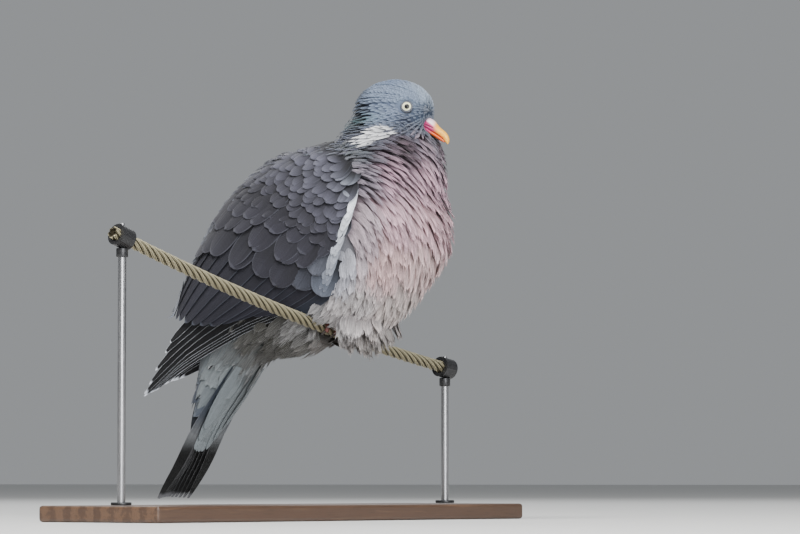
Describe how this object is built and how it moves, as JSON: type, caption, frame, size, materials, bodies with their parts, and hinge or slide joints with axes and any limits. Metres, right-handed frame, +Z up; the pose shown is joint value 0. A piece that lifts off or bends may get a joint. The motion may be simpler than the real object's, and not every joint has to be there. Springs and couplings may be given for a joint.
{
  "type": "pigeon",
  "caption": "Wood pigeon with fluffed plumage perched on a short length of wire rope, a still life-size model on a plain display stand.",
  "frame": {"origin": "middle of the underside of the display base", "axes": "+X the way the bird faces, +Y the bird's left, +Z up"},
  "size_m": [0.2643, 0.4316, 0.3366],
  "materials": {
    "breast_plumage": "soft matte feathers, vinous pink",
    "grey_plumage": "soft matte feathers, blue-grey",
    "wing_plumage": "matte feathers, grey-brown",
    "flight_feathers": "smooth feathers, blackish",
    "pale_plumage": "soft matte feathers, pale grey",
    "eye": "glossy glass-like eye",
    "bill": "satin horn, pink base and yellow tip",
    "foot": "scaly skin, dark red",
    "claw": "dark satin horn",
    "wire": "weathered stranded wire",
    "base_wood": "dark satin wood",
    "stand_metal": "black satin paint"
  },
  "bodies": {
    "root": {"bill_lower": "bill", "bill_upper": "bill", "claw_left_hind": "claw", "claw_left_inner": "claw", "claw_left_middle": "claw", "claw_left_outer": "claw", "claw_right_hind": "claw", "claw_right_inner": "claw", "claw_right_middle": "claw", "claw_right_outer": "claw", "eye_left": "eye", "eye_right": "eye", "head": "grey_plumage", "leg_left": "foot", "leg_right": "foot", "neck": "grey_plumage", "perch_wire": "wire", "stand_base": "base_wood", "stand_clamp_far": "stand_metal", "stand_clamp_near": "stand_metal", "stand_rod_far": "stand_metal", "stand_rod_near": "stand_metal", "tail_feathers": "flight_feathers", "trunk": "breast_plumage", "undertail_coverts": "pale_plumage", "wing_left_coverts": "wing_plumage", "wing_left_primaries": "flight_feathers", "wing_left_secondaries": "wing_plumage", "wing_right_coverts": "wing_plumage", "wing_right_primaries": "flight_feathers", "wing_right_secondaries": "wing_plumage"}
  },
  "joints": []
}
